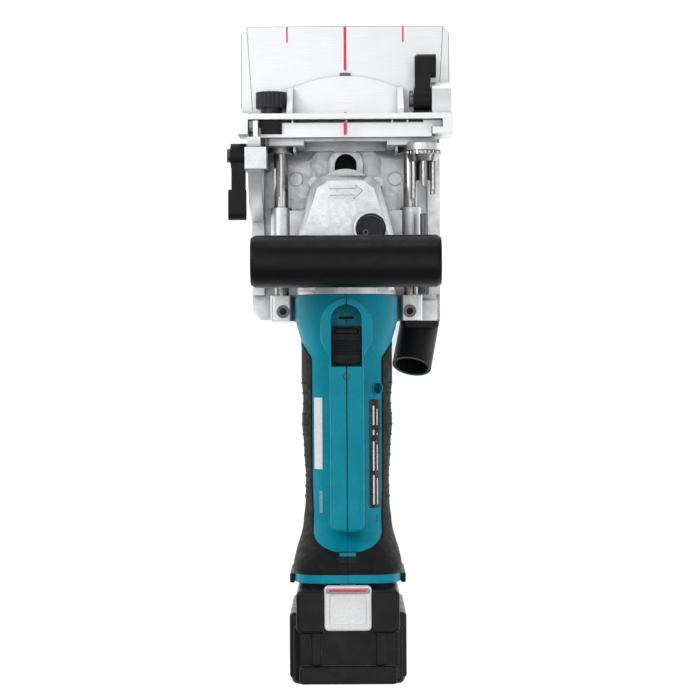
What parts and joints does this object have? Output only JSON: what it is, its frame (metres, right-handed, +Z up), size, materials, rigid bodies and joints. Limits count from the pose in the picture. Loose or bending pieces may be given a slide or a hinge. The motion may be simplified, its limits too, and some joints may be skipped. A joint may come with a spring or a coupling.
{
  "type": "biscuit joiner",
  "caption": "Cordless biscuit joiner with tilting and sliding fence, plunging motor unit on two rods, depth turret and bail front handle.",
  "frame": {"origin": "on the base's underside, straight below the blade axis at rest", "axes": "+Y forward towards the workpiece, +Z up, +X right seen from above with the battery nearest"},
  "size_m": [0.1414, 0.4095, 0.134],
  "materials": {
    "cast_aluminium": "satin shot-blasted casting",
    "machined_aluminium": "fine matt anodised",
    "bright_steel": "ground",
    "dark_steel": "blackened",
    "blade_steel": "black coated disc with ground tips",
    "black_plastic": "fine moulded texture",
    "handle_plastic": "fine moulded texture",
    "teal_plastic": "satin moulded texture",
    "grip_rubber": "soft overmould with fine ribs",
    "battery_plastic": "fine moulded texture",
    "latch_plastic": "smooth",
    "cell_wrap": "shrink wrap",
    "brass": "plain",
    "winding": "varnished laminations and wire",
    "ferrite": "sintered",
    "circuit_board": "solder mask"
  },
  "bodies": {
    "base": {"base_casting": "cast_aluminium", "cover_hinge_pin": "bright_steel", "guide_rods": "bright_steel", "rod_screws": "dark_steel", "spring_guide_pins": "bright_steel", "return_springs": "bright_steel", "turret_screw": "dark_steel", "dust_nozzle": "black_plastic", "nozzle_screws": "dark_steel", "guide_hinge_pins": "bright_steel", "angle_clamp_block": "cast_aluminium", "angle_clamp_bolt": "dark_steel"},
    "blade_cover": {"blade_cover": "cast_aluminium"},
    "cover_screw": {"cover_screw": "dark_steel"},
    "depth_turret": {"depth_turret": "bright_steel"},
    "angle_guide": {"angle_guide": "machined_aluminium", "height_rack": "black_plastic"},
    "angle_lock_lever": {"angle_lock_lever": "black_plastic"},
    "fence": {"fence": "machined_aluminium", "fence_lock_pin": "bright_steel", "fence_lock_shoe": "black_plastic"},
    "fence_lock_lever": {"fence_lock_lever": "black_plastic"},
    "height_knob": {"height_knob": "black_plastic", "height_pinion": "bright_steel"},
    "power_unit": {"gear_housing": "cast_aluminium", "bearing_box": "cast_aluminium", "box_screws": "dark_steel", "slide_bushes": "brass", "front_handle": "handle_plastic", "handle_screws": "dark_steel", "motor_housing_left": "teal_plastic", "motor_housing_right": "teal_plastic", "rubber_grip_left": "grip_rubber", "rubber_grip_right": "grip_rubber", "housing_screws": "dark_steel", "motor_can": "dark_steel", "magnets": "ferrite", "brush_holders": "brass", "brushes": "ferrite", "controller": "circuit_board", "terminal_block": "black_plastic", "armature_bearings": "bright_steel", "spindle_bearings": "bright_steel", "switch_unit": "black_plastic"},
    "spindle": {"spindle": "bright_steel", "ring_gear": "dark_steel", "inner_flange": "bright_steel", "saw_blade": "blade_steel", "lock_nut": "dark_steel"},
    "armature": {"armature": "winding", "fan": "black_plastic"},
    "shaft_lock": {"shaft_lock_button": "black_plastic"},
    "switch": {"switch_slider": "black_plastic"},
    "depth_adjuster": {"depth_adjuster": "dark_steel"},
    "battery": {"battery_case_front": "battery_plastic", "battery_case_rear": "battery_plastic", "battery_cells": "cell_wrap", "battery_terminals": "brass"},
    "battery_latch": {"battery_latch": "latch_plastic"}
  },
  "joints": [
    {"name": "plunge", "type": "slide", "parent": "base", "child": "power_unit", "axis": [0, -1, 0], "range_m": [-0.0215, 0], "stiffness_N_per_m": 400, "springref_m": 0.02, "deforming": ["return_springs"]},
    {"name": "spindle_spin", "type": "hinge", "parent": "power_unit", "child": "spindle", "pos_m": [0, 0, 0.01], "axis": [0, 0, 1], "continuous": true},
    {"name": "armature_spin", "type": "hinge", "parent": "power_unit", "child": "armature", "pos_m": [0, -0.05, 0.056], "axis": [0, -1, 0], "continuous": true},
    {"name": "shaft_lock_press", "type": "slide", "parent": "power_unit", "child": "shaft_lock", "axis": [0, 0, -1], "range_m": [0, 0.004], "stiffness_N_per_m": 800, "springref_m": -0.002},
    {"name": "switch_slide", "type": "slide", "parent": "power_unit", "child": "switch", "axis": [0, 1, 0], "range_m": [0, 0.007]},
    {"name": "adjuster_turn", "type": "hinge", "parent": "power_unit", "child": "depth_adjuster", "pos_m": [0.0487, -0.03, 0.053], "axis": [0, 1, 0], "range_deg": [-360, 360]},
    {"name": "battery_slide", "type": "slide", "parent": "power_unit", "child": "battery", "axis": [0, 0, 1], "range_m": [0, 0.1]},
    {"name": "battery_latch_press", "type": "slide", "parent": "battery", "child": "battery_latch", "axis": [0, -1, 0], "range_m": [0, 0.003], "stiffness_N_per_m": 600, "springref_m": -0.002},
    {"name": "guide_tilt", "type": "hinge", "parent": "base", "child": "angle_guide", "pos_m": [0, 0.0485, 0.023], "axis": [-1, 0, 0], "range_deg": [0, 90]},
    {"name": "fence_slide", "type": "slide", "parent": "angle_guide", "child": "fence", "axis": [0, 0, 1], "range_m": [-0.01, 0.014]},
    {"name": "height_knob_turn", "type": "hinge", "parent": "fence", "child": "height_knob", "pos_m": [-0.0467, 0.06, 0.048], "axis": [0, -1, 0], "range_deg": [-143.5, 200.8]},
    {"name": "fence_lever_turn", "type": "hinge", "parent": "fence", "child": "fence_lock_lever", "pos_m": [0.048, 0.067, 0.048], "axis": [1, 0, 0], "range_deg": [0, 90]},
    {"name": "angle_lever_turn", "type": "hinge", "parent": "base", "child": "angle_lock_lever", "pos_m": [-0.068, 0.0314, 0.052], "axis": [-1, 0, 0], "range_deg": [0, 75]},
    {"name": "turret_turn", "type": "hinge", "parent": "base", "child": "depth_turret", "pos_m": [0.0487, 0.029, 0.06], "axis": [0, 1, 0], "range_deg": [0, 300]},
    {"name": "cover_open", "type": "hinge", "parent": "base", "child": "blade_cover", "pos_m": [0, 0.0425, 0.003], "axis": [1, 0, 0], "range_deg": [0, 90]},
    {"name": "cover_screw_turn", "type": "hinge", "parent": "base", "child": "cover_screw", "pos_m": [-0.05, -0.045, 0.025], "axis": [0, 0, 1], "range_deg": [0, 720]}
  ],
  "couplings": [
    {"joint": "armature_spin", "follows": "spindle_spin", "ratio": 3},
    {"joint": "height_knob_turn", "follows": "fence_slide", "rad_per_m": 250}
  ]
}
